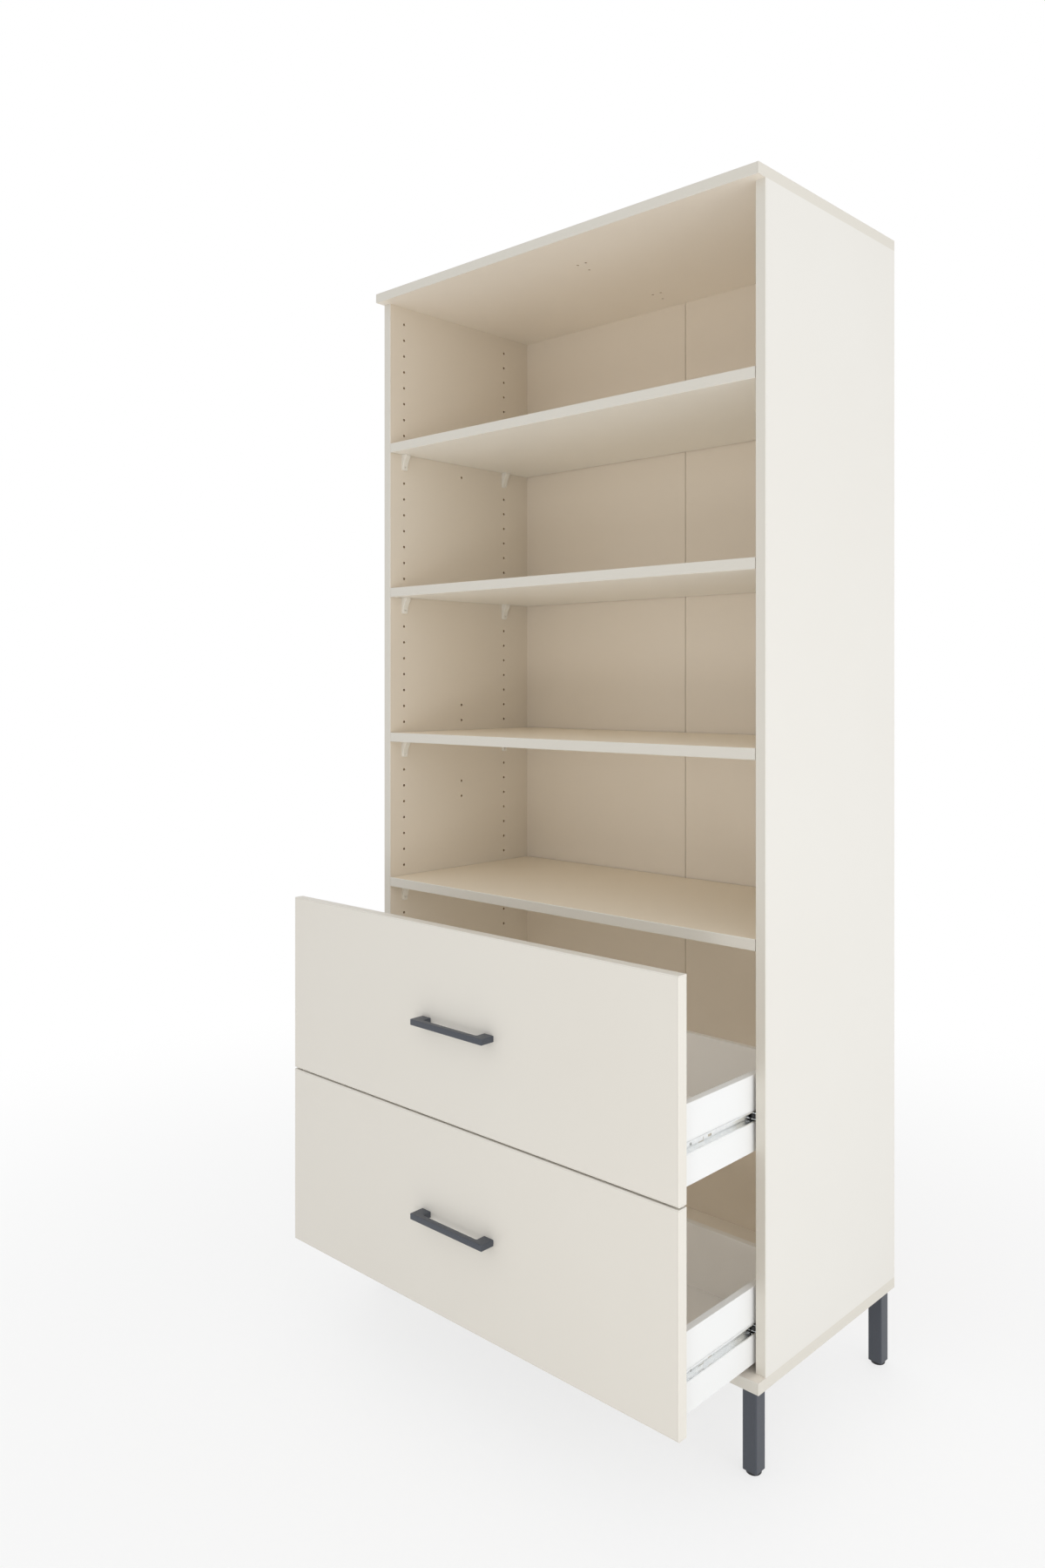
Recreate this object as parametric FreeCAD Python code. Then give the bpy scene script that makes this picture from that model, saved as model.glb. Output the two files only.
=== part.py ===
import FreeCAD, Part
import math
import os

# Bookcase with four adjustable shelves over two drawers on ball-bearing runners.
# Millimetres, +Z up, +Y to the back. The floor is at zero and X is zero in the middle.
# The drawers are drawn pulled out by drawer_open, and Y is zero halfway from handle to rear edge.

Vector = FreeCAD.Vector

# Carcass boards
inner_width = 845.0             # between the side panels
side_height = 1796.0            # side panels stand between the bottom and the top
side_depth = 419.0              # front edge to rear edge of a side panel
panel_thickness = 18.0          # side, top and bottom boards
front_overhang = 21.0           # top and bottom reach this far in front of the sides
edge_radius = 1.5               # rounding of the edge band on board edges
cut_overrun = 1.0               # how far every cut runs past the face it starts from

# Back in two boards, held in grooves and joined by a tape behind
back_thickness = 3.0
back_setback = 16.0             # rear edges of the carcass to the rear face of the back
back_groove_depth = 8.0
back_clearance = 0.2            # back board to each wall of its groove
back_joint_gap = 1.6            # open line between the two boards
back_joint_offset = 8.5         # the line stands right of the middle
joint_tape_width = 40.0
joint_tape_thickness = 0.8
joint_tape_end_gap = 5.0

# Rows of shelf-pin holes
hole_diameter = 5.0
hole_depth = 12.0
hole_pitch = 32.0
hole_sides = 8                  # flats that stand in for round, on a pin and its hole
grid_rise = 34.0                # inside of the bottom board to the first grid height
row_top_room = 28.0             # least room above the highest hole
row_start_rise = 60.0           # least height of the lowest hole over the upper drawer box
front_hole_setback = 37.0       # front row to the front edge
rear_row_room = 60.0            # least room between the rear row and the back
middle_row_drops = (9, 24, 25, 29, 30)  # short middle row, in pitches below the highest hole

# Holes under the top for an upright that can be added
upright_hole_spacing = 19.2     # across the middle
upright_front_setback = 93.0    # front group to the front edges of the sides
upright_rear_setback = 70.0     # rear group to the rear edges

# Shelves
shelf_count = 4                 # shared out over the hole rows
shelf_thickness = 18.0
shelf_side_clearance = 1.0
shelf_back_clearance = 2.0

# Shelf supports
support_rise = 25.5             # pin centre to the underside of the shelf
support_width = 13.0
support_reach = 13.0            # out from the side panel under the shelf
support_lip = 5.0               # upright nose below the seat
support_foot = 4.5              # thickness beside the pin
support_tail = 6.5              # lower end below the pin
support_tail_chamfer = 3.5
support_sweep_share = 0.3       # how far the hollow below the nose stands out at mid height
support_pin_length = 9.0
support_pin_clearance = 0.2     # hole diameter over pin diameter

# Pegs, screws and their holes
peg_sides = 6                   # flats that stand in for round
dowel_fit = 0.1                 # hole diameter over dowel diameter
screw_fit = 0.3                 # hole diameter over screw diameter
end_room = 0.5                  # hole past the end of its dowel or screw

# Dowels of the carcass
dowel_diameter = 8.0
dowel_in_face = 11.0            # part of a dowel in the top or bottom board
dowel_in_edge = 21.0            # part of a dowel in the end of a side panel
dowel_depth_shares = (0.15, 0.83)

# Legs
leg_height = 130.0              # floor to the underside of the carcass
leg_width = 25.0
leg_wall = 1.5
leg_inset = 8.0                 # outer faces of a leg to the edges of the bottom board
leg_plate_width = 70.0
leg_plate_thickness = 3.0
leg_corner_chamfer = 1.5
leg_screw_diameter = 4.0
leg_screw_grip = 9.0            # in the bottom board
leg_screw_head = 8.0
leg_screw_head_height = 2.2
leg_screw_margin = 11.0         # screw to the inner edge of the plate
glide_diameter = 24.0
glide_sides = 12                # flats that stand in for round
glide_height = 5.0
glide_plug_length = 14.0
glide_plug_fit = 0.15           # plug to each inner wall of the leg

# Drawer fronts
drawer_open = 198.0             # how far the drawers are drawn pulled out
front_height = 317.0
front_thickness = 18.0
front_spacing = 3.0             # between fronts, and over the bottom board
front_side_gap = 1.5            # front edge to the outer face of the carcass
front_gap = 2.0                 # closed front to the carcass edges

# Drawer boxes
box_back_room = 77.0            # closed: rear end of the box to the back
box_height = 116.0
box_rise = 9.0                  # lower edge of the front to the lower edge of the box
box_thickness = 12.0
box_edge_radius = 1.0
box_rebate = 5.0                # the back stands this deep in the rear ends of the sides
box_rebate_clearance = 0.1
box_bottom_thickness = 3.0
box_bottom_rise = 7.0
box_bottom_groove = 5.0         # in the sides
front_groove = 8.0              # in the drawer front
box_bottom_clearance = 0.15
box_dowel_diameter = 6.0
box_dowel_in_front = 10.0
box_dowel_in_side = 14.0
box_dowel_height_shares = (0.22, 0.80)

# Bow handles
handle_length = 167.0
handle_projection = 27.0
handle_height = 10.0
handle_bar_depth = 10.0
handle_foot_width = 21.0
handle_chamfer = 1.0
handle_screw_diameter = 4.0
handle_screw_in_foot = 9.0
handle_screw_head = 8.0
handle_screw_head_height = 2.4

# Ball-bearing runners: a channel in the groove of the drawer side, a rail on the carcass wall
runner_gap = 5.0                # drawer side to carcass wall
runner_thickness = 11.0         # carcass wall to the bottom of the groove
runner_rise = 54.0              # lower edge of the box to the middle of the runner
runner_wall = 1.0               # sheet of channel and rail
race_gap = 2.4                  # between the facing flanges of channel and rail
race_lip_share = 0.29           # lips reach this far across the race gap
groove_clearance = 0.1          # channel to the upper and lower wall of its groove
channel_height = 17.0
channel_mouth = 3.0             # lips of the channel to the carcass wall
channel_bend_radius = 1.2
channel_setback = 2.0           # behind the drawer front
channel_end_gap = 13.0          # ahead of the rear end of the box
channel_screw_setbacks = (45.0, 250.0)
channel_screw_diameter = 3.0
channel_screw_head = 5.6
channel_screw_head_height = 0.35
channel_screw_grip = 4.5        # in the drawer side
tongue_setback = 64.0           # pressed tongue behind the front end of the channel
tongue_length = 13.0
tongue_height = 8.0
tongue_slit = 1.2
slot_setback = 88.0
slot_length = 9.0
slot_height = 3.5
rail_head_room = 1.7            # edges of the rail to the web of the channel
rail_setback = 2.0              # behind the front edge of the carcass
rail_end_gap = 98.0             # ahead of the back
rail_screw_steps = (0, 7)       # from the front hole row, in pitches
rail_screw_diameter = 4.0
rail_screw_head = 6.4
rail_screw_head_height = 2.0
rail_screw_grip = 11.0          # in the side panel

# Black guide in the front end of each rail
guide_length = 24.0
guide_nose = 2.5                # ahead of the rail
guide_depth = 6.6
guide_fit = 0.1
guide_chamfer = 2.0

# Ball cages
cage_length = 76.0
cage_setback = 118.0            # closed: front edge of the carcass to the front of the cage
cage_thickness = 0.5
cage_gap = 0.3
ball_clearance = 0.15
ball_hole_room = 0.15
ball_place_shares = (0.2, 0.8)  # balls of each row along the cage

# Places across the carcass
hands = {"left": -1, "right": 1}
ends = {"front": -1, "rear": 1}
half_inner = inner_width / 2
half_outer = half_inner + panel_thickness
panel_middle = half_inner + panel_thickness / 2
front_reach = drawer_open + front_gap + front_thickness + handle_projection
carcass_front = (front_reach - side_depth) / 2
carcass_rear = carcass_front + side_depth
board_front = carcass_front - front_overhang
bottom_face = leg_height + panel_thickness
side_top = bottom_face + side_height
back_rear = carcass_rear - back_setback
back_front = back_rear - back_thickness
dowel_rows = [carcass_front + share * side_depth for share in dowel_depth_shares]

# Places of the drawers, lower one first
drawer_names = ("lower", "upper")
front_rear = carcass_front - front_gap - drawer_open
front_face = front_rear - front_thickness
front_bottoms = [bottom_face + front_spacing + i * (front_height + front_spacing)
                 for i in range(len(drawer_names))]
box_bottoms = [bottom + box_rise for bottom in front_bottoms]
box_rear = back_front - box_back_room - drawer_open
box_half = half_inner - runner_gap
box_half_inside = box_half - box_thickness
box_side_middle = box_half - box_thickness / 2
runner_heights = [bottom + runner_rise for bottom in box_bottoms]
channel_front = front_rear + channel_setback
rail_front = carcass_front + rail_setback

# Hole rows on a grid that counts up from the bottom board
grid_start = bottom_face + grid_rise
front_row = carcass_front + front_hole_setback
row_steps = int((back_front - rear_row_room - front_row) / hole_pitch)
rear_row = front_row + row_steps * hole_pitch
middle_row = front_row + (row_steps + 1) // 2 * hole_pitch
lowest_hole = math.ceil((box_bottoms[-1] + box_height + row_start_rise - grid_start) / hole_pitch)
highest_hole = int((side_top - row_top_room - grid_start) / hole_pitch)
shelf_steps = (highest_hole - lowest_hole) // shelf_count
shelf_holes = [highest_hole - (i + 1) * shelf_steps for i in range(shelf_count)]
rail_screw_rows = [front_row + steps * hole_pitch for steps in rail_screw_steps]

# Section of a runner: out from the carcass wall, and up or down from its middle
channel_half = channel_height / 2
race_lip = race_lip_share * race_gap
rail_half = channel_half - runner_wall - race_gap
rail_depth = runner_thickness - runner_wall - rail_head_room
cage_edge = channel_mouth + runner_wall + cage_gap
cage_web = rail_depth + cage_gap
cage_front = carcass_front + cage_setback - drawer_open / 2
ball_out = (cage_edge + rail_depth - runner_wall) / 2
ball_rise = rail_half + race_gap / 2
ball_radius = race_gap / 2 - ball_clearance
ball_rows = [cage_front + share * cage_length for share in ball_place_shares]

up = Vector(0, 0, 1)
down = Vector(0, 0, -1)
forward = Vector(0, -1, 0)
backward = Vector(0, 1, 0)
axes = (Vector(1, 0, 0), backward, up)


def block(x0, x1, y0, y1, z0, z1):
    # A box between two corners, whichever way round they are given.
    low = Vector(min(x0, x1), min(y0, y1), min(z0, z1))
    return Part.makeBox(abs(x1 - x0), abs(y1 - y0), abs(z1 - z0), low)


def peg(start, direction, diameter, length, sides=peg_sides):
    # A regular prism along an axis, its width across flats equal to the diameter.
    across = Vector(direction.y, direction.z, direction.x)
    beside = direction.cross(across)
    radius = diameter / 2 / math.cos(math.pi / sides)
    turns = [2 * math.pi * (i + 0.5) / sides for i in range(sides + 1)]
    corners = [start + (across * math.cos(turn) + beside * math.sin(turn)) * radius for turn in turns]
    return Part.Face(Part.makePolygon(corners)).extrude(direction * length)


def hole(mouth, inward, diameter, depth, sides=peg_sides):
    # The tool for a hole that starts at its mouth and runs inward.
    return peg(mouth - inward * cut_overrun, inward, diameter, cut_overrun + depth, sides)


def through_hole(mouth, inward, diameter, thickness):
    return hole(mouth, inward, diameter, thickness + cut_overrun)


def screw(seat, inward, diameter, grip, head, head_height):
    # The head sits outside on its seat and the shank runs inward.
    cap = peg(seat - inward * head_height, inward, head, head_height)
    return cap.fuse(peg(seat, inward, diameter, grip))


def edges_of(shape, chosen):
    return [edge for edge in shape.Edges if chosen(edge.BoundBox)]


def lies_at(low, high, place):
    return max(abs(low - place), abs(high - place)) < edge_radius / 100


def front_edges(board, y):
    # The long level edges of a board's front.
    return edges_of(board, lambda b: lies_at(b.YMin, b.YMax, y) and b.XLength > b.ZLength)


def top_edges(board, z):
    # The two long edges along the top of an upright board.
    long_side = max(board.BoundBox.XLength, board.BoundBox.YLength)
    return edges_of(board, lambda b: lies_at(b.ZMin, b.ZMax, z) and b.DiagonalLength > long_side / 2)


def grid_height(number):
    return grid_start + number * hole_pitch


def at_wall(hand, out):
    # X of a place that stands out from the inner face of a side panel.
    return hand * (half_inner - out)


def runner_bar(hand, middle, half_outline, y0, y1):
    # A bar along Y from one half of its section, (out, rise) points that start and end on the web.
    points = [Vector(at_wall(hand, out), y0, middle + rise) for out, rise in half_outline]
    points += [Vector(at_wall(hand, out), y0, middle - rise) for out, rise in reversed(half_outline)]
    return Part.Face(Part.makePolygon(points + points[:1])).extrude(backward * (y1 - y0))


# Carcass boards
def pin_hole_places():
    full_row = range(lowest_hole, highest_hole + 1)
    places = [(row, grid_height(number)) for row in (front_row, rear_row) for number in full_row]
    return places + [(middle_row, grid_height(highest_hole - drop)) for drop in middle_row_drops]


def side_panel(hand):
    wall = at_wall(hand, 0)
    outward = Vector(hand, 0, 0)
    panel = block(wall, hand * half_outer, carcass_front, carcass_rear, bottom_face, side_top)
    uprights = edges_of(panel, lambda b: lies_at(b.YMin, b.YMax, carcass_front) and b.ZLength > b.XLength)
    panel = panel.makeFillet(edge_radius, uprights)
    cuts = [hole(Vector(wall, y, z), outward, hole_diameter, hole_depth, hole_sides)
            for y, z in pin_hole_places()]
    for z in runner_heights:
        cuts += [hole(Vector(wall, y, z), outward, rail_screw_diameter + screw_fit,
                      rail_screw_grip + end_room) for y in rail_screw_rows]
    for y in dowel_rows:
        cuts += [hole(Vector(hand * panel_middle, y, z), inward, dowel_diameter + dowel_fit,
                      dowel_in_edge + end_room) for z, inward in ((side_top, down), (bottom_face, up))]
    cuts.append(block(at_wall(hand, cut_overrun), at_wall(hand, -back_groove_depth),
                      back_front - back_clearance, back_rear + back_clearance,
                      bottom_face - cut_overrun, side_top + cut_overrun))
    return panel.cut(cuts)


def end_board(inner_face, away, holes):
    # The top or bottom board: away is the direction from its inner to its outer face.
    outer_face = inner_face + away.z * panel_thickness
    board = block(-half_outer, half_outer, board_front, carcass_rear, inner_face, outer_face)
    board = board.makeFillet(edge_radius, front_edges(board, board_front))
    groove_half = half_inner + back_groove_depth
    groove = block(-groove_half, groove_half, back_front - back_clearance, back_rear + back_clearance,
                   inner_face - away.z * cut_overrun, inner_face + away.z * back_groove_depth)
    dowel_holes = [hole(Vector(hand * panel_middle, y, inner_face), away, dowel_diameter + dowel_fit,
                        dowel_in_face + end_room) for hand in hands.values() for y in dowel_rows]
    return board.cut([groove] + dowel_holes + holes)


def top_panel():
    half = upright_hole_spacing / 2
    holes = []
    for y in (carcass_front + upright_front_setback, carcass_rear - upright_rear_setback - hole_pitch):
        holes += [hole(Vector(*place, side_top), up, hole_diameter, hole_depth, hole_sides)
                  for place in ((-half, y), (half, y), (-half, y + hole_pitch))]
    return end_board(side_top, up, holes)


def bottom_panel():
    holes = [hole(Vector(x, y, leg_height), up, leg_screw_diameter + screw_fit, leg_screw_grip + end_room)
             for x, y in leg_screw_places()]
    return end_board(bottom_face, down, holes)


def carcass_dowels():
    length = dowel_in_face + dowel_in_edge
    return [peg(Vector(hand * panel_middle, y, z), up, dowel_diameter, length)
            for hand in hands.values() for y in dowel_rows
            for z in (side_top - dowel_in_edge, bottom_face - dowel_in_face)]


def back_board(hand):
    into_groove = back_groove_depth - back_clearance
    return block(back_joint_offset + hand * back_joint_gap / 2, hand * (half_inner + into_groove),
                 back_front, back_rear, bottom_face - into_groove, side_top + into_groove)


def back_joint_tape():
    half = joint_tape_width / 2
    return block(back_joint_offset - half, back_joint_offset + half,
                 back_rear, back_rear + joint_tape_thickness,
                 bottom_face + joint_tape_end_gap, side_top - joint_tape_end_gap)


# Shelves and their supports
def shelf(number):
    underside = grid_height(number) + support_rise
    half = half_inner - shelf_side_clearance
    board = block(-half, half, carcass_front, back_front - shelf_back_clearance,
                  underside, underside + shelf_thickness)
    return board.makeFillet(edge_radius, front_edges(board, carcass_front))


def shelf_support(hand, y, pin_height):
    # A wedge with a flat seat, an upright nose and a hollow front that runs down to the pin.
    y0 = y - support_width / 2
    seat = pin_height + support_rise
    nose = seat - support_lip
    tail = pin_height - support_tail
    hollow = support_foot + support_sweep_share * (support_reach - support_foot)

    def point(out, height):
        return Vector(at_wall(hand, out), y0, height)

    sweep = Part.Arc(point(support_reach, nose), point(hollow, (nose + pin_height) / 2),
                     point(support_foot, pin_height))
    straight = Part.makePolygon([point(support_foot, pin_height), point(support_foot, tail), point(0, tail),
                                 point(0, seat), point(support_reach, seat), point(support_reach, nose)])
    outline = Part.Wire([sweep.toShape()] + straight.Edges)
    wedge = Part.Face(outline).extrude(backward * support_width)
    corners = edges_of(wedge, lambda b: lies_at(b.ZMin, b.ZMax, tail) and b.XLength > b.YLength)
    wedge = wedge.makeChamfer(support_tail_chamfer, corners)
    outward = Vector(hand, 0, 0)
    pin = peg(Vector(at_wall(hand, 0), y, pin_height), outward, hole_diameter - support_pin_clearance,
              support_pin_length, hole_sides)
    return wedge.fuse(pin)


# Legs
def leg_corner(hand, end):
    # The outer corner of a leg.
    y = board_front + leg_inset if end < 0 else carcass_rear - leg_inset
    return hand * (half_outer - leg_inset), y


def leg_square(hand, end, near, far, z0, z1):
    # A square block between two distances in from the outer corner of a leg.
    x, y = leg_corner(hand, end)
    return block(x - hand * near, x - hand * far, y - end * near, y - end * far, z0, z1)


def plate_screw_places(hand, end):
    # Two screws in a plate, along its two inner edges.
    x, y = leg_corner(hand, end)
    far = leg_plate_width - leg_screw_margin
    middle = leg_plate_width / 2
    return [(x - hand * u, y - end * v) for u, v in ((far, middle), (middle, far))]


def leg_screw_places():
    return [place for hand in hands.values() for end in ends.values()
            for place in plate_screw_places(hand, end)]


def leg(hand, end):
    plate_bottom = leg_height - leg_plate_thickness
    tube = leg_square(hand, end, 0, leg_width, glide_height, plate_bottom)
    uprights = edges_of(tube, lambda b: b.ZLength > max(b.XLength, b.YLength))
    tube = tube.makeChamfer(leg_corner_chamfer, uprights)
    bore = leg_square(hand, end, leg_wall, leg_width - leg_wall, glide_height - cut_overrun, plate_bottom)
    plate = leg_square(hand, end, 0, leg_plate_width, plate_bottom, leg_height)
    holes = [through_hole(Vector(x, y, plate_bottom), up, leg_screw_diameter + screw_fit,
                          leg_plate_thickness) for x, y in plate_screw_places(hand, end)]
    return tube.cut(bore).fuse(plate).cut(holes)


def leg_glide(hand, end):
    x, y = leg_corner(hand, end)
    inset = leg_wall + glide_plug_fit
    centre = Vector(x - hand * leg_width / 2, y - end * leg_width / 2, 0)
    disc = peg(centre, up, glide_diameter, glide_height, glide_sides)
    plug = leg_square(hand, end, inset, leg_width - inset, glide_height, glide_height + glide_plug_length)
    return disc.fuse(plug)


def leg_screws():
    seat = leg_height - leg_plate_thickness
    return [screw(Vector(x, y, seat), up, leg_screw_diameter, leg_plate_thickness + leg_screw_grip,
                  leg_screw_head, leg_screw_head_height) for x, y in leg_screw_places()]


# Drawer fronts and boxes
def box_dowel_heights(box_bottom):
    return [box_bottom + share * box_height for share in box_dowel_height_shares]


def bottom_groove_heights(box_bottom):
    low = box_bottom + box_bottom_rise
    return low - box_bottom_clearance, low + box_bottom_thickness + box_bottom_clearance


def handle_screw_places(front_bottom):
    offset = (handle_length - handle_foot_width) / 2
    return [(x, front_bottom + front_height / 2) for x in (-offset, offset)]


def drawer_front(front_bottom, box_bottom):
    half = half_outer - front_side_gap
    panel = block(-half, half, front_face, front_rear, front_bottom, front_bottom + front_height)
    panel = panel.makeFillet(edge_radius, edges_of(panel, lambda b: lies_at(b.YMin, b.YMax, front_face)))
    groove_half = box_half_inside + box_bottom_groove
    cuts = [block(-groove_half, groove_half, front_rear - front_groove, front_rear + cut_overrun,
                  *bottom_groove_heights(box_bottom))]
    cuts += [hole(Vector(hand * box_side_middle, front_rear, z), forward, box_dowel_diameter + dowel_fit,
                  box_dowel_in_front + end_room)
             for hand in hands.values() for z in box_dowel_heights(box_bottom)]
    cuts += [through_hole(Vector(x, front_rear, z), forward, handle_screw_diameter + screw_fit,
                          front_thickness) for x, z in handle_screw_places(front_bottom)]
    return panel.cut(cuts)


def drawer_side(hand, box_bottom):
    outer = hand * box_half
    inner = hand * box_half_inside
    runner_face = at_wall(hand, runner_thickness)
    middle = box_bottom + runner_rise
    half_groove = channel_half + groove_clearance
    y0 = front_rear - cut_overrun
    y1 = box_rear + cut_overrun
    board = block(outer, inner, front_rear, box_rear, box_bottom, box_bottom + box_height)
    board = board.makeFillet(box_edge_radius, top_edges(board, box_bottom + box_height))
    runner_groove = block(outer + hand * cut_overrun, runner_face, y0, y1,
                          middle - half_groove, middle + half_groove)
    bottom_groove = block(inner - hand * cut_overrun, inner + hand * box_bottom_groove, y0, y1,
                          *bottom_groove_heights(box_bottom))
    rebate = block(inner - hand * cut_overrun, inner + hand * box_rebate,
                   box_rear - box_thickness - box_rebate_clearance, y1,
                   box_bottom + box_bottom_rise, box_bottom + box_height + cut_overrun)
    cuts = [runner_groove, bottom_groove, rebate]
    cuts += [hole(Vector(hand * box_side_middle, front_rear, z), backward, box_dowel_diameter + dowel_fit,
                  box_dowel_in_side + end_room) for z in box_dowel_heights(box_bottom)]
    cuts += [hole(Vector(runner_face, channel_front + setback, middle), Vector(-hand, 0, 0),
                  channel_screw_diameter + screw_fit, channel_screw_grip + end_room)
             for setback in channel_screw_setbacks]
    return board.cut(cuts)


def drawer_back(box_bottom):
    half = box_half_inside + box_rebate - box_rebate_clearance
    top = box_bottom + box_height
    board = block(-half, half, box_rear - box_thickness, box_rear,
                  box_bottom + box_bottom_rise + box_bottom_thickness, top)
    return board.makeFillet(box_edge_radius, top_edges(board, top))


def drawer_bottom(box_bottom):
    half = box_half_inside + box_bottom_groove - box_bottom_clearance
    low = box_bottom + box_bottom_rise
    return block(-half, half, front_rear - front_groove + box_bottom_clearance, box_rear,
                 low, low + box_bottom_thickness)


def box_dowels(box_bottom):
    return [peg(Vector(hand * box_side_middle, front_rear - box_dowel_in_front, z), backward,
                box_dowel_diameter, box_dowel_in_front + box_dowel_in_side)
            for hand in hands.values() for z in box_dowel_heights(box_bottom)]


# Handles
def handle(front_bottom):
    middle = front_bottom + front_height / 2
    low = middle - handle_height / 2
    high = middle + handle_height / 2
    half = handle_length / 2
    gap_half = half - handle_foot_width
    tip = front_face - handle_projection
    bow = block(-half, half, tip, front_face, low, high)
    finger_gap = block(-gap_half, gap_half, tip + handle_bar_depth, front_face + cut_overrun,
                       low - cut_overrun, high + cut_overrun)
    bow = bow.cut(finger_gap)
    bow = bow.makeChamfer(handle_chamfer, edges_of(bow, lambda b: not lies_at(b.YMin, b.YMax, front_face)))
    holes = [hole(Vector(x, front_face, z), forward, handle_screw_diameter + screw_fit,
                  handle_screw_in_foot + end_room) for x, z in handle_screw_places(front_bottom)]
    return bow.cut(holes)


def handle_screws(front_bottom):
    grip = front_thickness + handle_screw_in_foot
    return [screw(Vector(x, front_rear, z), forward, handle_screw_diameter, grip,
                  handle_screw_head, handle_screw_head_height)
            for x, z in handle_screw_places(front_bottom)]


# Runners
def drawer_channel(hand, middle):
    web = runner_thickness
    lip = channel_half - runner_wall - race_lip
    inside = channel_half - runner_wall
    half_outline = [(web, channel_half), (channel_mouth, channel_half), (channel_mouth, lip),
                    (channel_mouth + runner_wall, lip), (channel_mouth + runner_wall, inside),
                    (web - runner_wall, inside)]
    bar = runner_bar(hand, middle, half_outline, channel_front, box_rear - channel_end_gap)
    bends = edges_of(bar, lambda b: lies_at(b.XMin, b.XMax, at_wall(hand, web)) and b.YLength > b.ZLength)
    bar = bar.makeFillet(channel_bend_radius, bends)
    face = at_wall(hand, web - runner_wall)
    near = at_wall(hand, web - runner_wall - cut_overrun)
    beyond = at_wall(hand, web + cut_overrun)
    cuts = [through_hole(Vector(face, channel_front + setback, middle), Vector(-hand, 0, 0),
                         channel_screw_diameter + screw_fit, runner_wall)
            for setback in channel_screw_setbacks]
    # The tongue is left standing inside a window that is open on three sides.
    y0 = channel_front + tongue_setback
    half = tongue_height / 2
    window = block(near, beyond, y0, y0 + tongue_length, middle - half, middle + half)
    tongue = block(near, beyond, y0, y0 + tongue_length - tongue_slit,
                   middle - half + tongue_slit, middle + half - tongue_slit)
    slot = block(near, beyond, channel_front + slot_setback, channel_front + slot_setback + slot_length,
                 middle - slot_height / 2, middle + slot_height / 2)
    return bar.cut(cuts + [window.cut(tongue), slot])


def channel_screws(hand, middle):
    seat = at_wall(hand, runner_thickness - runner_wall)
    return [screw(Vector(seat, channel_front + setback, middle), Vector(-hand, 0, 0), channel_screw_diameter,
                  runner_wall + channel_screw_grip, channel_screw_head, channel_screw_head_height)
            for setback in channel_screw_setbacks]


def carcass_rail(hand, middle):
    inside = rail_half - runner_wall
    half_outline = [(0, rail_half), (rail_depth - runner_wall, rail_half),
                    (rail_depth - runner_wall, rail_half + race_lip), (rail_depth, rail_half + race_lip),
                    (rail_depth, inside), (runner_wall, inside)]
    bar = runner_bar(hand, middle, half_outline, rail_front, back_front - rail_end_gap)
    holes = [through_hole(Vector(at_wall(hand, runner_wall), y, middle), Vector(hand, 0, 0),
                          rail_screw_diameter + screw_fit, runner_wall) for y in rail_screw_rows]
    return bar.cut(holes)


def rail_screws(hand, middle):
    seat = at_wall(hand, runner_wall)
    return [screw(Vector(seat, y, middle), Vector(hand, 0, 0), rail_screw_diameter,
                  runner_wall + rail_screw_grip, rail_screw_head, rail_screw_head_height)
            for y in rail_screw_rows]


def rail_guide(hand, middle):
    half = rail_half - runner_wall - guide_fit
    nose = rail_front - guide_nose
    guide = block(at_wall(hand, runner_wall), at_wall(hand, runner_wall + guide_depth),
                  nose, rail_front + guide_length, middle - half, middle + half)
    return guide.makeChamfer(guide_chamfer, front_edges(guide, nose))


def ball_cage(hand, middle):
    outer = ball_rise + cage_thickness / 2
    inner = ball_rise - cage_thickness / 2
    half_outline = [(cage_web + cage_thickness, outer), (cage_edge, outer), (cage_edge, inner),
                    (cage_web, inner)]
    bar = runner_bar(hand, middle, half_outline, cage_front, cage_front + cage_length)
    holes = [through_hole(Vector(at_wall(hand, ball_out), y, middle + side.z * outer), side * -1,
                          2 * (ball_radius + ball_hole_room), cage_thickness)
             for y in ball_rows for side in (up, down)]
    return bar.cut(holes)


def faceted_ball(centre):
    # A ball with twelve flats: what three square bars share, each turned by an eighth about its axis.
    reach = ball_radius / math.sqrt(2)
    bars = []
    for axis in axes:
        half = Vector(reach, reach, reach) + axis * reach
        bars.append(block(-half.x, half.x, -half.y, half.y, -half.z, half.z))
        bars[-1].rotate(Vector(0, 0, 0), axis, 45)
    ball = bars[0].common(bars[1]).common(bars[2])
    ball.translate(centre)
    return ball


def cage_balls(hand, middle):
    return [faceted_ball(Vector(at_wall(hand, ball_out), y, middle + side.z * ball_rise))
            for y in ball_rows for side in (up, down)]


nodes = {}


def add(name, *solids):
    nodes[name] = Part.Compound(list(solids))


# Carcass
for side, hand in hands.items():
    add("side_panel_" + side, side_panel(hand))
    add("back_board_" + side, back_board(hand))
    for end_name, end in ends.items():
        add("leg_%s_%s" % (end_name, side), leg(hand, end))
add("top_panel", top_panel())
add("bottom_panel", bottom_panel())
add("back_joint_tape", back_joint_tape())
add("carcass_dowels", *carcass_dowels())
add("leg_glides", *[leg_glide(hand, end) for hand in hands.values() for end in ends.values()])
add("leg_screws", *leg_screws())
for i, number in enumerate(shelf_holes, start=1):
    add("shelf_%d" % i, shelf(number))
    add("shelf_supports_%d" % i, *[shelf_support(hand, row, grid_height(number))
                                   for hand in hands.values() for row in (front_row, rear_row)])

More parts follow.
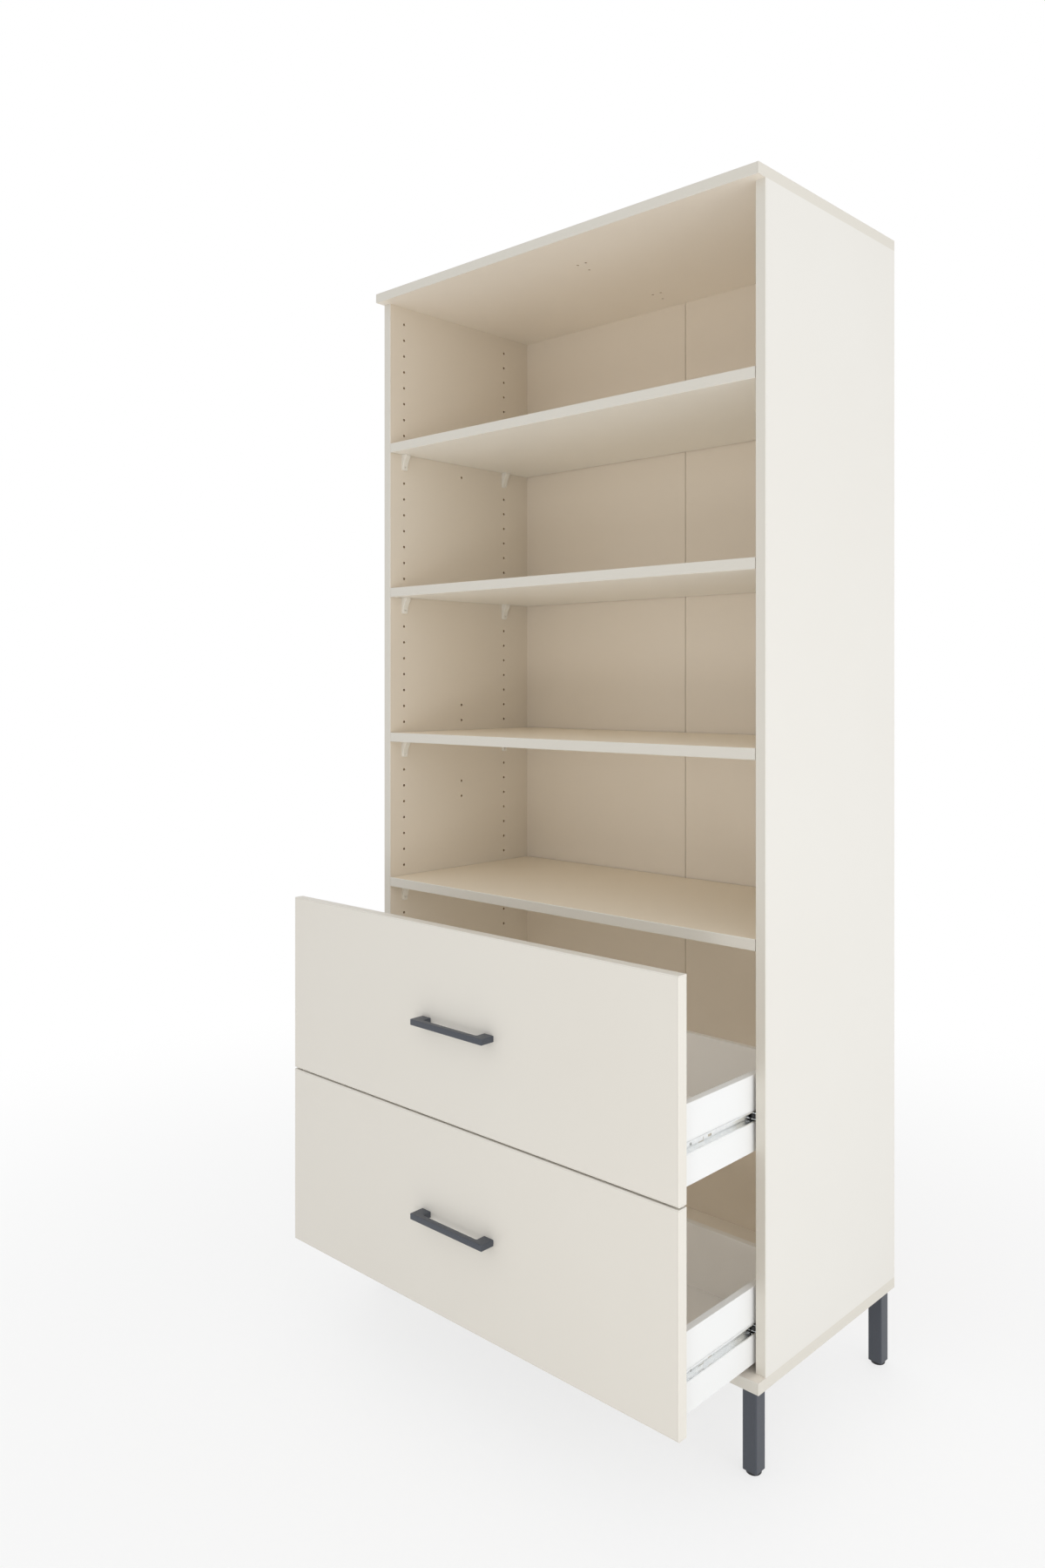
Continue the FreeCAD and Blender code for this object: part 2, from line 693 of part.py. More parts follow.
# Runner pieces on the carcass
runner_places = [(hand, middle) for middle in runner_heights for hand in hands.values()]
for drawer, middle in zip(drawer_names, runner_heights):
    for side, hand in hands.items():
        add("%s_carcass_rail_%s" % (drawer, side), carcass_rail(hand, middle))
add("rail_guides", *[rail_guide(hand, middle) for hand, middle in runner_places])
add("rail_screws", *[one for hand, middle in runner_places for one in rail_screws(hand, middle)])

# Drawers and their ball cages
drawer_places = zip(drawer_names, front_bottoms, box_bottoms, runner_heights)
for drawer, front_bottom, box_bottom, middle in drawer_places:
    prefix = drawer + "_drawer_"
    add(prefix + "front", drawer_front(front_bottom, box_bottom))
    add(prefix + "back", drawer_back(box_bottom))
    add(prefix + "bottom", drawer_bottom(box_bottom))
    add(prefix + "dowels", *box_dowels(box_bottom))
    add(prefix + "handle", handle(front_bottom))
    add(prefix + "handle_screws", *handle_screws(front_bottom))
    for side, hand in hands.items():
        add(prefix + "side_" + side, drawer_side(hand, box_bottom))
        add(prefix + "channel_" + side, drawer_channel(hand, middle))
    add(prefix + "channel_screws", *[one for hand in hands.values() for one in channel_screws(hand, middle)])
    add(drawer + "_ball_cages", *[ball_cage(hand, middle) for hand in hands.values()])
    add(drawer + "_cage_balls", *[one for hand in hands.values() for one in cage_balls(hand, middle)])

os.makedirs("parts", exist_ok=True)
for name, shape in nodes.items():
    shape.exportStep(os.path.join("parts", name + ".step"))
print("%d nodes, %d solids" % (len(nodes), sum(len(shape.Solids) for shape in nodes.values())))
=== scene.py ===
from math import pi, radians

import bmesh
import bpy
import numpy as np
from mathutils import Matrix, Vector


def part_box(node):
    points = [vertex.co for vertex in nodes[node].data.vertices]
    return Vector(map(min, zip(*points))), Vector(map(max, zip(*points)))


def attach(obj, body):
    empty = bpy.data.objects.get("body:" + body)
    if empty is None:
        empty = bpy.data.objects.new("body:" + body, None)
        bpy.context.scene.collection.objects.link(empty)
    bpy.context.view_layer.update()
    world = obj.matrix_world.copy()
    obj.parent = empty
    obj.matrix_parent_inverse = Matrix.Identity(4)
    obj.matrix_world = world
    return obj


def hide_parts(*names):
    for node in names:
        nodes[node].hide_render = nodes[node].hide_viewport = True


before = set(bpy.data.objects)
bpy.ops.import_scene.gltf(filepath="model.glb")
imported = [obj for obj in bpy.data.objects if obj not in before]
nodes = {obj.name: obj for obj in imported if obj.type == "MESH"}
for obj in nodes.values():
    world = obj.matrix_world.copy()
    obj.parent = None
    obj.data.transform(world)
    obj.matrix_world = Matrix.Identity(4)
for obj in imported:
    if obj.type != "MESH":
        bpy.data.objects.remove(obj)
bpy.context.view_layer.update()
mm = 0.001
white = (1.0, 1.0, 1.0, 1.0)
drawers = ("lower", "upper")
hands = ("left", "right")


def srgb(red, green, blue):
    # screen values from 0 to 255 as the linear colour that a shader takes
    share = np.array((red, green, blue)) / 255
    linear = np.where(share > 0.04045, ((share + 0.055) / 1.055) ** 2.4, share / 12.92)
    return (*linear.tolist(), 1.0)


# Camera, level at eye height, with the frame dropped below its axis
cameraLook = {"place": (1.3972, -1.63095, 1.1859), "turn": 43.337, "lens": 27.33, "drop": 0.0637}


def setCamera(look):
    data = bpy.data.cameras.new("camera")
    data.lens = look["lens"]
    data.shift_y = -look["drop"]
    camera = bpy.data.objects.new("camera", data)
    camera.location = look["place"]
    camera.rotation_euler = (pi / 2, 0, radians(look["turn"]))
    bpy.context.scene.collection.objects.link(camera)
    bpy.context.scene.camera = camera


setCamera(cameraLook)
bpy.context.scene.view_settings.view_transform = "Standard"
print("camera placed")


class Wire:
    # an output socket that takes part in sums: each operator adds one Math node
    def __init__(self, socket):
        self.socket = socket

    def node(self, kind, settings, values, out=0):
        # any other node: its settings come first, then each socket takes a number, a colour or a link
        tree = self.socket.id_data
        made = tree.nodes.new("ShaderNode" + kind)
        for name, value in settings.items():
            setattr(made, name, value)
        for key, value in values.items():
            join(tree, value, made.inputs[key])
        return Wire(made.outputs[out])

    def maths(self, operation, *values):
        return self.node("Math", {"operation": operation}, dict(enumerate(values)))

    def __add__(self, other):
        return self.maths("ADD", self, other)

    __radd__ = __add__

    def __sub__(self, other):
        return self.maths("SUBTRACT", self, other)

    def __rsub__(self, other):
        return self.maths("SUBTRACT", other, self)

    def __mul__(self, other):
        return self.maths("MULTIPLY", self, other)

    __rmul__ = __mul__

    def __abs__(self):
        return self.maths("ABSOLUTE", self)

    def __and__(self, other):
        return self.maths("MINIMUM", self, other)

    def __or__(self, other):
        return self.maths("MAXIMUM", self, other)


def join(tree, value, socket):
    if isinstance(value, Wire):
        tree.links.new(value.socket, socket)
    else:
        socket.default_value = value


def rise(value, low, high):
    # 0 below low, 1 above high and a smooth step between
    return value.node("MapRange", {"interpolation_type": "SMOOTHSTEP"}, {0: value, 1: low, 2: high})


def mixed(share, first, second):
    return share.node("Mix", {"data_type": "RGBA"}, {0: share, 6: first, 7: second}, out=2)


def stretched(place, scale):
    return place.node("Mapping", {}, {"Vector": place, "Scale": scale})


def noise(place, scale, detail=2.0):
    return place.node("TexNoise", {}, {"Vector": place, "Scale": scale, "Detail": detail})


def flakes(place, scale):
    # one random number for each cell of a broken-up pattern
    cells = place.node("TexVoronoi", {}, {"Vector": place, "Scale": scale}, out=1)
    return cells.node("SeparateColor", {}, {0: cells})


def axesOf(place):
    parts = place.node("SeparateXYZ", {}, {0: place})
    return [Wire(socket) for socket in parts.socket.node.outputs]


def newFinish(name, **constants):
    # a material with its Principled shader, and the Object coordinates that its pattern reads
    material = bpy.data.materials.new(name)
    material.use_nodes = True
    tree = material.node_tree
    shader = tree.nodes["Principled BSDF"]
    for socket, value in constants.items():
        shader.inputs[socket.replace("_", " ")].default_value = value
    place = Wire(tree.nodes.new("ShaderNodeTexCoord").outputs["Object"])
    return material, shader, place


def drive(shader, colour, roughness, height):
    # height is in metres, so the Bump node keeps it at its own size
    tree = shader.id_data
    relief = height.node("Bump", {}, {"Strength": 1.0, "Distance": 1.0, "Height": height})
    for value, socket in ((colour, "Base Color"), (roughness, "Roughness"), (relief, "Normal")):
        join(tree, value, shader.inputs[socket])


# Studio: white for the eye and for reflections, softer for the light that falls on the object.
# Light that has bounced a few times counts as studio light once it is clear of the boards near it.
studioLook = {
    "fill": (0.955, 0.975, 1.0, 1.0), "fillStrength": 0.766,
    "diffuseBounces": 8, "bounces": 3, "clearBy": 0.30,
    "floor": srgb(250, 249, 247), "floorRoughness": 0.6, "floorHalf": 9.0,
    "fadeFrom": 0.7, "fadeTo": 2.4, "lift": 0.72,
}
lampLooks = {
    "keyLamp": {"place": (3.4, -0.5, 1.2), "aim": (0.3, 0.0, 0.9), "size": 2.6, "power": 26.8,
                "colour": (0.955, 0.975, 1.0)},
    "lowLamp": {"place": (1.6, -2.7, 0.27), "aim": (0.0, 0.1, 1.1), "size": 0.5, "power": 8.8,
                "colour": (0.96, 0.98, 1.0)},
}


def seenRays(tree):
    # 1 for rays from the camera, mirrors and glass, 0 for the light that falls on the object
    path = tree.nodes.new("ShaderNodeLightPath")
    rays = [Wire(path.outputs[name]) for name in ("Is Camera Ray", "Is Glossy Ray", "Is Transmission Ray")]
    return (rays[0] | rays[1]) | rays[2]


def setWorld(look):
    world = bpy.data.worlds.new("studio")
    world.use_nodes = True
    bpy.context.scene.world = world
    tree = world.node_tree
    seen = seenRays(tree)
    sky = tree.nodes["Background"]
    join(tree, mixed(seen, look["fill"], white), sky.inputs["Color"])
    join(tree, seen * (1.0 - look["fillStrength"]) + look["fillStrength"], sky.inputs["Strength"])
    cycles = bpy.context.scene.cycles
    cycles.diffuse_bounces = look["diffuseBounces"]
    cycles.use_fast_gi = True
    cycles.fast_gi_method = "REPLACE"
    cycles.ao_bounces_render = look["bounces"]
    world.light_settings.ao_factor = 1.0
    world.light_settings.distance = look["clearBy"]


def setFloor(look):
    half = look["floorHalf"]
    mesh = bpy.data.meshes.new("floor")
    corners = [(-half, -half, 0), (half, -half, 0), (half, half, 0), (-half, half, 0)]
    mesh.from_pydata(corners, [], [(0, 1, 2, 3)])
    floor = bpy.data.objects.new("floor", mesh)
    bpy.context.scene.collection.objects.link(floor)
    paint = {"Base_Color": look["floor"], "Roughness": look["floorRoughness"]}
    material, shader, place = newFinish("floorPaint", **paint)
    tree = material.node_tree
    away = place.node("VectorMath", {"operation": "LENGTH"}, {0: place}, out=1)
    far = rise(away, look["fadeFrom"], look["fadeTo"])    # far floor melts into the white
    bright = (look["lift"] + far * (1.0 - look["lift"])) * seenRays(tree)
    glow = bright.node("Emission", {}, {"Color": white, "Strength": 1.0})
    surface = bright.node("MixShader", {}, {0: bright, 1: Wire(shader.outputs[0]), 2: glow})
    join(tree, surface, tree.nodes["Material Output"].inputs["Surface"])
    mesh.materials.append(material)


def setLamp(name, look):
    data = bpy.data.lights.new(name, "AREA")
    data.size = look["size"]
    data.energy = look["power"]
    data.color = look["colour"]
    lamp = bpy.data.objects.new(name, data)
    away = np.array(look["place"]) - np.array(look["aim"])
    level = np.hypot(away[0], away[1])
    lamp.location = look["place"]
    lamp.rotation_euler = (np.arctan2(level, away[2]), 0, np.arctan2(away[0], -away[1]))
    bpy.context.scene.collection.objects.link(lamp)


setWorld(studioLook)
setFloor(studioLook)
for lampName, lampLook in lampLooks.items():
    setLamp(lampName, lampLook)
print("studio set:", len(lampLooks), "lamps")


# Boards. One finish serves them all: a decor face, an edge band with its joint line on the banded
# edges, and the bare core wherever a hole, groove or rebate cuts below the face.
# Faces that look into the compartments get a copy of the decor with painted light and shade.
faceDepths = {    # how deep each layer goes below a face of the board, from full to none; inside is the layer of painted light and shade
    "decor": (0.50 * mm, 0.65 * mm), "raw": (0.02 * mm, 0.05 * mm),
    "inside": (0.02 * mm, 0.20 * mm), "band": (0.30 * mm, 0.50 * mm),
}
laminateLook = {
    "face": srgb(237, 233, 225), "shade": srgb(234, 229, 220),
    # inside and its mottle tone: painted shade, a darker and warmer copy of the decor for the side panels'
    # faces that look into the compartments
    "inside": srgb(232, 221, 204), "paintedInsideMottle": srgb(229, 216, 197),
    "mottleScale": 1.7, "mottleSpan": (0.30, 0.70), "mottle": 0.55, "fleckScale": 900.0, "fleck": 0.05,
    "roughness": 0.40, "roughnessSwing": 0.10, "smudgeScale": 9.0,
    "pearlScale": 1300.0, "pearlDepth": 0.010 * mm,
    "band": srgb(225, 219, 207), "bandThickness": 2.0 * mm, "bandCalm": 0.6,
    "line": srgb(168, 156, 138), "lineSpan": (0.04 * mm, 0.10 * mm),
    "core": srgb(206, 177, 136), "coreDark": srgb(158, 124, 86), "coreSpan": (0.25, 0.75),
    "coreRoughness": 0.85, "coreDepth": 0.12 * mm,
    "chipScale": 420.0, "chipStretch": (1.0, 0.45, 0.45), "chipShare": 0.6, "gritFiner": 2.5,
}
# top and bottom panels: their inner faces carry painted light, a lighter and warmer copy of the decor
capLook = dict(laminateLook, inside=srgb(249, 240, 227), paintedInsideMottle=srgb(246, 236, 221))
# shelves: the face colour is raised as painted light on the undersides, and the tops carry a warmer copy as
# painted bounce light
shelfLook = dict(
    laminateLook, face=srgb(252, 247, 237), shade=srgb(249, 243, 231), inside=srgb(247, 233, 211),
    paintedInsideMottle=srgb(244, 229, 205),
)
frontLook = dict(laminateLook, face=srgb(237, 231, 220), shade=srgb(234, 227, 215), band=srgb(235, 229, 218))
# drawer boxes: the inner faces carry a slightly warmer copy of the white, painted bounce light
foilLook = dict(
    laminateLook, face=srgb(247, 246, 244), shade=srgb(244, 243, 240), inside=srgb(251, 247, 241),
    paintedInsideMottle=srgb(248, 243, 235), roughness=0.34, pearlScale=700.0, pearlDepth=0.006 * mm,
    core=srgb(208, 199, 183), coreDark=srgb(190, 180, 162), chipScale=1600.0, chipStretch=(1.0, 1.0, 1.0),
    coreDepth=0.03 * mm,
)
# back boards: the face toward the compartments is a warmer copy of the decor, painted warm bounce light
hardboardLook = dict(
    laminateLook, face=srgb(242, 230, 213), shade=srgb(239, 226, 207), roughness=0.46, pearlScale=900.0,
    pearlDepth=0.006 * mm, core=srgb(164, 127, 90), coreDark=srgb(132, 98, 66), chipScale=900.0,
    chipStretch=(1.0, 1.0, 0.35), coreDepth=0.05 * mm,
)


def near(depth, span):
    # 1 at the face, 0 below the span
    return 1.0 - rise(depth, *span)


def boardFinish(node, slotName, look, banded, raw, inside):
    # banded, raw and inside name faces of the board's box, such as "-y" for the front; inside faces get the
    # look's copy of the decor with painted light and shade
    material, shader, place = newFinish(slotName + "." + node)
    low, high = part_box(node)
    below = {}    # depth below each face
    for number, along in enumerate(axesOf(place)):
        below["-" + "xyz"[number]] = along - low[number]
        below["+" + "xyz"[number]] = high[number] - along
    nearest, *others = below.values()
    for depth in others:
        nearest = nearest & depth
    core = rise(nearest, *faceDepths["decor"])
    for face in raw:
        core = core | near(below[face], faceDepths["raw"])
    mottle = rise(noise(place, look["mottleScale"], 3.0), *look["mottleSpan"]) * look["mottle"]
    tone = mottle + noise(place, look["fleckScale"]) * look["fleck"]
    decor = mixed(tone, look["face"], look["shade"])
    for face in inside:    # faces that look into the compartments get the look's copy of the decor, painted light and shade
        paintedLightDecor = mixed(tone, look["inside"], look["paintedInsideMottle"])
        decor = mixed(near(below[face], faceDepths["inside"]), decor, paintedLightDecor)
    pearl = noise(place, look["pearlScale"], 1.0)
    smudge = noise(place, look["smudgeScale"], 4.0) - 0.5
    for face in banded:
        onBand = near(below[face], faceDepths["band"])
        seam = near(abs(below[face] - look["bandThickness"]), look["lineSpan"])
        decor = mixed(onBand, decor, look["band"])
        decor = mixed(seam, decor, look["line"])
        pearl = pearl * (1.0 - onBand * look["bandCalm"])
    chipPlace = stretched(place, look["chipStretch"])
    chips = flakes(chipPlace, look["chipScale"])
    grit = noise(chipPlace, look["chipScale"] * look["gritFiner"], 3.0)
    crumbs = chips * look["chipShare"] + grit * (1.0 - look["chipShare"])
    bare = mixed(rise(crumbs, *look["coreSpan"]), look["core"], look["coreDark"])
    gloss = look["roughness"] + smudge * look["roughnessSwing"]
    drive(shader, mixed(core, decor, bare), gloss + core * (look["coreRoughness"] - gloss),
          pearl * (1.0 - core) * look["pearlDepth"] + chips * core * look["coreDepth"])
    return material


# Metal, plastic and wood finishes, one for each slot
coatLook = {
    "colour": srgb(66, 70, 78), "fleck": srgb(92, 97, 106), "fleckScale": 2600.0, "fleckSpan": (0.78, 0.95),
    "fleckShare": 0.5, "peelScale": 950.0, "peelDepth": 0.020 * mm, "roughness": 0.42, "swing": 0.12,
    "specular": 0.55,
}
zincLook = {
    "colour": srgb(246, 247, 246), "shade": srgb(235, 237, 238), "spangleScale": 160.0, "spangleShare": 0.6,
    "rollScale": (900.0, 14.0, 900.0), "rollDepth": 0.004 * mm, "roughness": 0.25, "swing": 0.12,
}
screwLook = dict(
    zincLook, colour=srgb(206, 207, 204), shade=srgb(178, 180, 178), spangleScale=700.0,
    rollScale=(700.0, 700.0, 700.0), roughness=0.28,
)
ballLook = dict(
    zincLook, colour=srgb(214, 215, 217), shade=srgb(196, 197, 200), rollScale=(300.0, 300.0, 300.0),
    rollDepth=0.0005 * mm, roughness=0.12, swing=0.05,
)
supportLook = {
    "colour": srgb(243, 238, 228), "shade": srgb(236, 230, 217), "toneScale": 60.0,
    "grainScale": 1500.0, "grainDepth": 0.006 * mm, "roughness": 0.36, "swing": 0.10,
}
blackLook = {
    "colour": srgb(30, 30, 32), "shade": srgb(20, 20, 22), "toneScale": 60.0,
    "grainScale": 1900.0, "grainDepth": 0.012 * mm, "roughness": 0.45, "swing": 0.12,
}
tapeLook = {
    "colour": srgb(150, 138, 118), "shade": srgb(138, 126, 106), "toneScale": 40.0,
    "ribPitch": 1.6 * mm, "ribDepth": 0.05 * mm, "roughness": 0.5, "swing": 0.12,
}
woodLook = {
    "colour": srgb(206, 168, 122), "shade": srgb(168, 124, 80), "grainStretch": (1.0, 1.0, 0.06),
    "grainScale": 900.0, "grainSpan": (0.3, 0.7), "grainDepth": 0.03 * mm, "roughness": 0.62, "swing": 0.16,
}


def swung(look, pattern):
    return look["roughness"] + (pattern - 0.5) * look["swing"]


def coatFinish(name, look):
    # powder coat: orange-peel relief with sparse paler flecks
    material, shader, place = newFinish(name, Specular_IOR_Level=look["specular"])
    peel = noise(place, look["peelScale"])
    fleck = rise(flakes(place, look["fleckScale"]), *look["fleckSpan"]) * look["fleckShare"]
    drive(shader, mixed(fleck, look["colour"], look["fleck"]), swung(look, peel), peel * look["peelDepth"])
    return material


def metalFinish(name, look):
    # rolled and plated steel: faint spangle, and fine lines along the rolling direction
    material, shader, place = newFinish(name, Metallic=1.0)
    spangle = flakes(place, look["spangleScale"])
    roll = noise(stretched(place, look["rollScale"]), 1.0, 3.0)
    tone = spangle * look["spangleShare"] + roll * (1.0 - look["spangleShare"])
    drive(shader, mixed(tone, look["colour"], look["shade"]), swung(look, roll), roll * look["rollDepth"])
    return material


def plasticFinish(name, look):
    # moulded plastic: fine spark-eroded grain and slow shifts of tone
    material, shader, place = newFinish(name)
    grain = noise(place, look["grainScale"])
    tone = noise(place, look["toneScale"], 3.0)
    drive(shader, mixed(tone, look["colour"], look["shade"]), swung(look, grain), grain * look["grainDepth"])
    return material


def tapeFinish(name, look):
    # ribbed strip: a sine of X with one rib in each pitch
    material, shader, place = newFinish(name)
    across = axesOf(place)[0] * (2 * pi / look["ribPitch"])
    rib = across.maths("SINE", across)
    tone = noise(place, look["toneScale"], 3.0)
    drive(shader, mixed(tone, look["colour"], look["shade"]), swung(look, tone), rib * look["ribDepth"])
    return material


def woodFinish(name, look):
    # turned hardwood with short fibres along the peg
    material, shader, place = newFinish(name)
    fibre = noise(stretched(place, look["grainStretch"]), look["grainScale"], 3.0)
    tone = rise(fibre, *look["grainSpan"])
    drive(shader, mixed(tone, look["colour"], look["shade"]), swung(look, fibre), fibre * look["grainDepth"])
    return material


finishes = {
    "dark_metal": coatFinish("anthraciteCoat", coatLook),
    "runner_steel": metalFinish("zincSheet", zincLook),
    "screw_steel": metalFinish("screwZinc", screwLook),
    "ball_steel": metalFinish("ballSteel", ballLook),
    "support_plastic": plasticFinish("supportPlastic", supportLook),
    "black_plastic": plasticFinish("blackPlastic", blackLook),
    "joint_tape": tapeFinish("jointTape", tapeLook),
    "dowel_wood": woodFinish("dowelBeech", woodLook),
}


def dress(node, material):
    slots = nodes[node].data.materials
    slots.clear()
    slots.append(material)


def dressBoard(node, slotName, look, banded=(), raw=(), inside=()):
    dress(node, boardFinish(node, slotName, look, banded, raw, inside))


def dressBoards():
    # the last faces named in each call get the look's painted light and shade
    edges = ("-x", "+x", "-z", "+z")
    inward = dict(zip(hands, ("+x", "-x")))
    for hand in hands:
        dressBoard("side_panel_" + hand, "carcass_board", laminateLook, ("-y",), ("+y",), (inward[hand],))
        dressBoard("back_board_" + hand, "back_board", hardboardLook, (), ("+y",))
    for node, inner in (("top_panel", "-z"), ("bottom_panel", "+z")):
        dressBoard(node, "carcass_board", capLook, ("-y", "-x", "+x"), ("+y",), (inner,))
    for node in ("shelf_1", "shelf_2", "shelf_3", "shelf_4"):
        dressBoard(node, "carcass_board", shelfLook, ("-y",), ("+y",), ("+z",))
    for drawer in drawers:
        prefix = drawer + "_drawer_"
        dressBoard(prefix + "front", "front_board", frontLook, edges, (), ("+y",))
        for hand in hands:
            dressBoard(prefix + "side_" + hand, "box_board", foilLook, (), ("+y",), (inward[hand],))
        dressBoard(prefix + "back", "box_board", foilLook, (), (), ("-y", "+z"))
        dressBoard(prefix + "bottom", "box_board", foilLook, (), ("+y",), ("+z",))


def dressRest():
    plain = {"back_joint_tape": "joint_tape", "carcass_dowels": "dowel_wood"}
    plain.update({"leg_%s_%s" % (end, hand): "dark_metal" for end in ("front", "rear") for hand in hands})
    for drawer in drawers:
        plain[drawer + "_drawer_dowels"] = "dowel_wood"
        plain[drawer + "_ball_cages"] = "runner_steel"
        for hand in hands:
            plain["%s_drawer_channel_%s" % (drawer, hand)] = "runner_steel"
            plain["%s_carcass_rail_%s" % (drawer, hand)] = "runner_steel"
    for node, slotName in plain.items():
        dress(node, finishes[slotName])
    return len(plain)


dressBoards()
print("boards finished; other carried nodes finished:", dressRest())


# Places of the pieces, read from the frame
def solidsOf(node):
    # one box per separate solid: labels sink to the lowest across every triangle until they settle
    mesh = nodes[node].data
    corners = np.empty(len(mesh.vertices) * 3, np.float32)
    mesh.vertices.foreach_get("co", corners)
    mesh.calc_loop_triangles()
    triangles = np.empty(len(mesh.loop_triangles) * 3, np.int32)
    mesh.loop_triangles.foreach_get("vertices", triangles)
    spots, same = np.unique(np.round(corners.reshape(-1, 3) / mm, 3), axis=0, return_inverse=True)
    triangles = same.ravel()[triangles].reshape(-1, 3)
    label = np.arange(len(spots))
    settled = False
    while not settled:
        lowest = label.copy()
        np.minimum.at(lowest, triangles, label[triangles].min(1, keepdims=True))
        settled = np.array_equal(lowest, label)
        label = lowest
    return [(spots[label == one].min(0) * mm, spots[label == one].max(0) * mm) for one in np.unique(label)]


# Surfaces
def tube(rings):
    # rings[i, j] is a closed ring for each i; the first and last ring are closed flat
    rows, columns = rings.shape[:2]
    cell = np.arange(rows * columns).reshape(rows, columns)
    beside = np.roll(cell, -1, axis=1)
    quads = np.stack((cell[:-1], beside[:-1], beside[1:], cell[1:]), -1).reshape(-1, 4)
    return rings.reshape(-1, 3), quads.tolist() + [cell[0, ::-1].tolist(), cell[-1].tolist()]


def revolved(radius, height, sides):
    # each (radius, height) of the profile goes round the axis: x = r cos t, y = r sin t, z = h
    turn = np.arange(sides) * 2 * pi / sides
    radius, height = np.broadcast_arrays(radius, height + 0 * turn)
    return np.stack((radius * np.cos(turn), radius * np.sin(turn), height), -1)


def aimed(points, start, way):
    # the local z axis turned to way, and the local origin moved to start
    across = np.roll(way, -1)
    return start + points[..., :1] * across + points[..., 1:2] * np.cross(way, across) + points[..., 2:] * way


def crowded(rows, crowding):
    # shares from 0 to 1 that lie closer at both ends: s less a part of sin(2 pi s) / 2 pi
    share = np.linspace(0, 1, rows)
    return share - crowding * np.sin(2 * pi * share) / (2 * pi)


def rounding(distance, size):
    # how far a quarter-round edge of this size is drawn in at a distance from its end
    return size * (1 - np.sqrt(1 - np.clip(1 - distance / size, 0, 1) ** 2))


meshLook = {"merge": 0.001 * mm, "sharpFrom": 40}    # doubles closer than this join; steeper edges stay sharp


def putPiece(name, shells, body, slotName, *replaced):
    # closed shells become one mesh with its place in it, which stands for the CAD nodes
    points, faces = [], []
    for shellPoints, shellFaces in shells:
        start = sum(map(len, points))
        points.append(shellPoints)
        faces += [[corner + start for corner in face] for face in shellFaces]
    mesh = bpy.data.meshes.new(name)
    mesh.from_pydata(np.concatenate(points).tolist(), [], faces)
    skin = bmesh.new()
    skin.from_mesh(mesh)
    bmesh.ops.remove_doubles(skin, verts=skin.verts, dist=meshLook["merge"])
    bmesh.ops.recalc_face_normals(skin, faces=skin.faces)
    skin.to_mesh(mesh)
    skin.free()
    mesh.shade_smooth()
    mesh.set_sharp_from_angle(angle=radians(meshLook["sharpFrom"]))
    mesh.materials.append(finishes[slotName])
    piece = bpy.data.objects.new(name, mesh)
    bpy.context.scene.collection.objects.link(piece)
    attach(piece, body)
    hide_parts(*replaced)


# Bow handles: a square bar with two feet
handleShape = {
    "bar": 10.0 * mm, "foot": 21.0 * mm, "corner": 1.2 * mm, "inner": 2.2 * mm, "edge": 1.0 * mm,
    "cornerSteps": 6, "edgeSteps": 5,
}


def handleShell(low, high, look):
    # outline: each right-angled corner C becomes the arc C + m(u + v) - (r - d)(u sin t + v cos t), where
    # u and v point at the corners before and after, d is how far the ring is drawn in and m the larger of
    # r and d; hollow corners count d as negative; rings: d = e(1 - sin f) at e(1 - cos f) from the top and
    # bottom faces
    (x0, y0, z0), (x1, y1, z1) = low, high
    inside = y0 + look["bar"]
    foot = look["foot"]
    corners = np.array(((x0, y1), (x0, y0), (x1, y0), (x1, y1), (x1 - foot, y1), (x1 - foot, inside),
                        (x0 + foot, inside), (x0 + foot, y1)))
    radius = np.choose((0, 1, 1, 0, 0, 2, 2, 0), (0.0, look["corner"], look["inner"]))[:, None, None]
    before = np.roll(corners, 1, axis=0) - corners
    after = np.roll(corners, -1, axis=0) - corners
    before = (before / np.linalg.norm(before, axis=1, keepdims=True))[:, None]
    after = (after / np.linalg.norm(after, axis=1, keepdims=True))[:, None]
    convex = np.sign(before[..., 1] * after[..., 0] - before[..., 0] * after[..., 1])[..., None]
    turn = np.linspace(0, pi / 2, look["cornerSteps"])[None, :, None]
    lean = np.linspace(0, pi / 2, look["edgeSteps"])
    up = look["edge"] * (1 - np.cos(lean))
    drawnIn = look["edge"] * (1 - np.sin(lean))
    drawnIn = np.concatenate((drawnIn, drawnIn[::-1]))[:, None, None, None] * convex
    level = np.concatenate((z0 + up, z1 - up[::-1]))[:, None, None]
    flat = corners[:, None] + np.maximum(radius, drawnIn) * (before + after)
    flat = flat - np.maximum(radius - drawnIn, 0) * (before * np.sin(turn) + after * np.cos(turn))
    flat[:, corners[:, 1] == y1, :, 1] = y1    # the feet stay square where they meet the front
    flat = flat.reshape(len(level), -1, 2)
    return tube(np.concatenate((flat, level + 0 * flat[..., :1]), -1))


for drawer in drawers:
    node = drawer + "_drawer_handle"
    shells = [handleShell(*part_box(node), handleShape)]
    putPiece(drawer + "_bow_handle", shells, drawer + "_drawer", "dark_metal", node)
print("handles made:", len(drawers))


# Shelf supports: a wedge with a seat, a hollow front and a round pin
supportShape = {
    "lip": 5.0 * mm, "foot": 4.5 * mm, "reach": 13.0 * mm, "hollow": 1.74, "tail": 3.5 * mm,
    "corner": 1.4 * mm, "cornerSteps": 6, "edge": 0.6 * mm,
    "levels": 48, "levelCrowding": 0.8, "columns": 31, "columnCrowding": 0.7,
    "dimple": 1.7 * mm, "dimpleDepth": 2.6 * mm, "rim": 0.35 * mm, "dimpleRows": 21, "dimpleSpan": 1.1,
    "pin": 2.4 * mm, "pinRise": 6.5 * mm, "pinRoot": 1.0 * mm, "pinTip": 0.7 * mm, "tipSteps": 5,
    "pinSides": 24,
}


